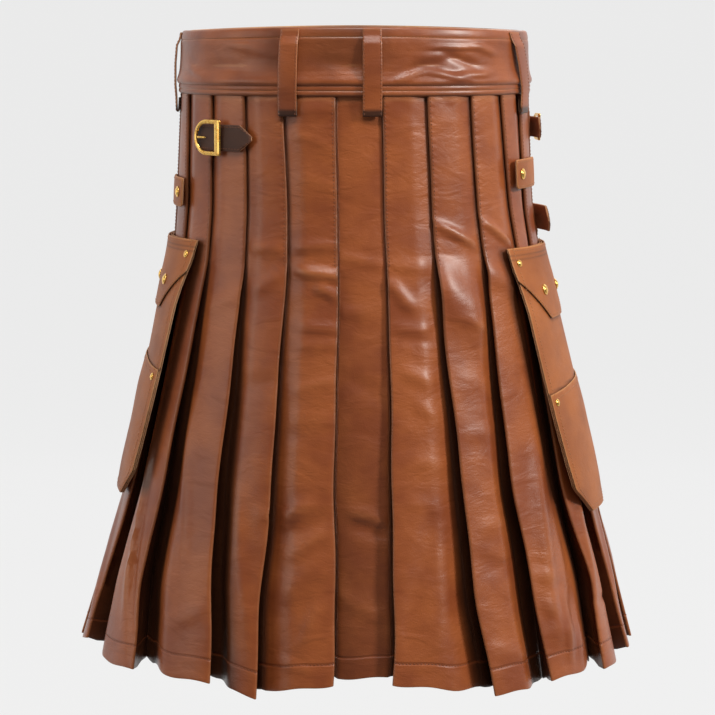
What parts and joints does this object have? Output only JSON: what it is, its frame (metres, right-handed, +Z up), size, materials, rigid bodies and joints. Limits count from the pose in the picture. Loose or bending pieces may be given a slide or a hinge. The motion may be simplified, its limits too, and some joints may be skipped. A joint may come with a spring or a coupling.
{
  "type": "leather kilt",
  "caption": "Pleated tan leather kilt with a looped waistband, short hip straps with brass buckles, snap tabs and a hanging cargo pocket at each hip, held in its worn form.",
  "frame": {"origin": "centre of the waist opening at half the height of the waistband", "axes": "+X to the wearer's left, -Y to the front, +Z up from the hem to the waist"},
  "size_m": [0.5553, 0.4203, 0.6202],
  "materials": {
    "leather_tan": "semi-gloss saddle tan leather, rubbed lighter on its folds",
    "leather_light": "lighter orange tan leather with raw cut edges",
    "leather_dark": "dark chocolate strap leather with a light raw edge",
    "brass": "polished brass"
  },
  "bodies": {
    "root": {"skirt_front": "leather_tan", "skirt_front_left": "leather_tan", "skirt_back_left": "leather_tan", "skirt_back": "leather_tan", "skirt_back_right": "leather_tan", "skirt_front_right": "leather_tan", "waistband_front": "leather_tan", "waistband_back": "leather_tan", "belt_loop_front_left": "leather_tan", "belt_loop_front_right": "leather_tan", "belt_loop_side_left": "leather_tan", "belt_loop_side_right": "leather_tan", "belt_loop_back_left": "leather_tan", "belt_loop_back_centre": "leather_tan", "belt_loop_back_right": "leather_tan", "pocket_back_left": "leather_light", "pocket_front_left": "leather_light", "pocket_pouch_left": "leather_light", "pocket_flap_left": "leather_light", "flap_rivet_front_left": "brass", "flap_rivet_back_left": "brass", "flap_snap_front_left": "brass", "flap_snap_back_left": "brass", "pouch_rivet_front_left": "brass", "pouch_rivet_back_left": "brass", "pocket_back_right": "leather_light", "pocket_front_right": "leather_light", "pocket_pouch_right": "leather_light", "pocket_flap_right": "leather_light", "flap_rivet_front_right": "brass", "flap_rivet_back_right": "brass", "flap_snap_front_right": "brass", "flap_snap_back_right": "brass", "pouch_rivet_front_right": "brass", "pouch_rivet_back_right": "brass", "strap_right_front": "leather_dark", "strap_left_upper": "leather_dark", "strap_left_lower": "leather_dark", "buckle_right": "brass", "prong_right": "brass", "buckle_left": "brass", "prong_left": "brass", "tab_left": "leather_tan", "tab_snap_left": "brass", "tab_right": "leather_tan", "tab_snap_right": "brass"}
  },
  "joints": []
}
